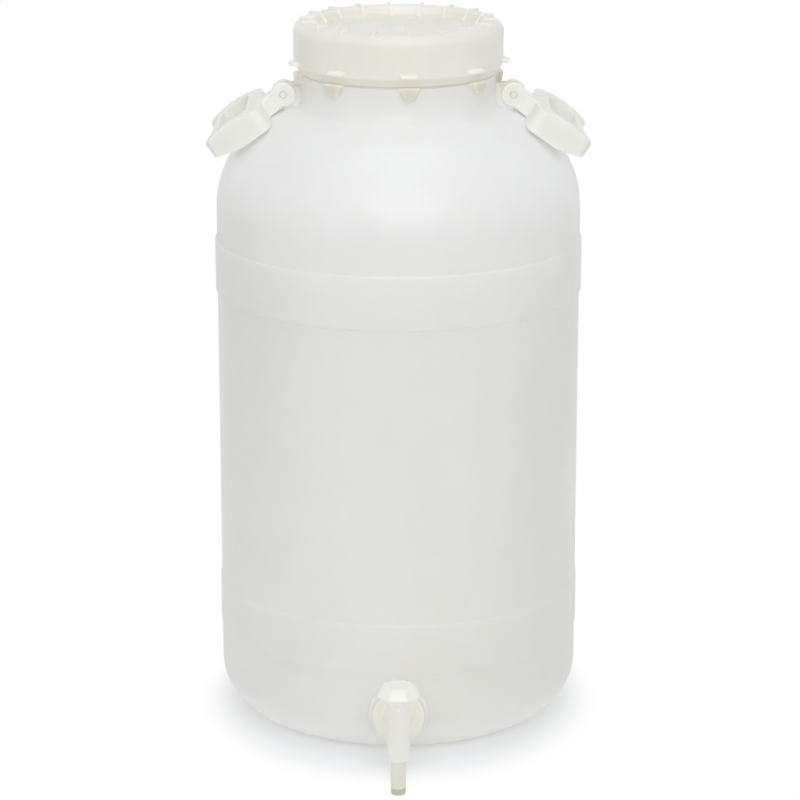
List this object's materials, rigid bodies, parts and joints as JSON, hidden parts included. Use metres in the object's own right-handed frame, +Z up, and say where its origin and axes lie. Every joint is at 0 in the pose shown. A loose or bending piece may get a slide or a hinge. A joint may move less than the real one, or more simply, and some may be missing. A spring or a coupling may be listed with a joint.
{
  "type": "wide-mouth plastic drum",
  "caption": "Tall translucent plastic drum with a wide neck, a ribbed screw lid over a loose inner lid, two folding side handles and an upright plug tap near the foot.",
  "frame": {"origin": "middle of the whole object's footprint on the floor; the drum's own axis stands at Y +0.0546, because the tap reaches out to -Y", "axes": "+Z up along the drum's axis, -Y the front where the tap is, +X across the two handles"},
  "size_m": [0.356, 0.4556, 0.673],
  "materials": {
    "drum_plastic": "translucent natural polyethylene, soft sheen",
    "lid_plastic": "natural polypropylene, soft sheen",
    "handle_plastic": "natural polypropylene, soft sheen",
    "tap_plastic": "natural polypropylene, translucent",
    "knob_plastic": "off-white polypropylene",
    "seal_rubber": "soft, matte"
  },
  "bodies": {
    "drum": {"drum_body": "drum_plastic", "left_handle_pin": "handle_plastic", "right_handle_pin": "handle_plastic", "tap_body": "tap_plastic", "tap_outer_washer": "seal_rubber", "tap_inner_washer": "seal_rubber", "tap_nut": "tap_plastic"},
    "inner_lid": {"inner_lid": "lid_plastic", "lid_gasket": "seal_rubber"},
    "screw_lid": {"screw_lid": "lid_plastic"},
    "left_handle": {"left_handle": "handle_plastic"},
    "right_handle": {"right_handle": "handle_plastic"},
    "tap_plug": {"tap_plug": "tap_plastic", "tap_knob": "knob_plastic"}
  },
  "joints": [
    {"name": "lid_lift", "type": "slide", "parent": "drum", "child": "inner_lid", "axis": [0, 0, 1], "range_m": [0, 0.12]},
    {"name": "lid_turn", "type": "hinge", "parent": "inner_lid", "child": "screw_lid", "pos_m": [0, 0.0546, 0.65], "axis": [0, 0, 1], "range_deg": [0, 540]},
    {"name": "left_handle_fold", "type": "hinge", "parent": "drum", "child": "left_handle", "pos_m": [-0.1075, 0.0546, 0.6005], "axis": [0, 1, 0], "range_deg": [0, 105]},
    {"name": "right_handle_fold", "type": "hinge", "parent": "drum", "child": "right_handle", "pos_m": [0.1075, 0.0546, 0.6005], "axis": [0, -1, 0], "range_deg": [0, 105]},
    {"name": "tap_turn", "type": "hinge", "parent": "drum", "child": "tap_plug", "pos_m": [0, -0.2083, 0.0475], "axis": [0, 0, 1], "range_deg": [0, 90]}
  ]
}
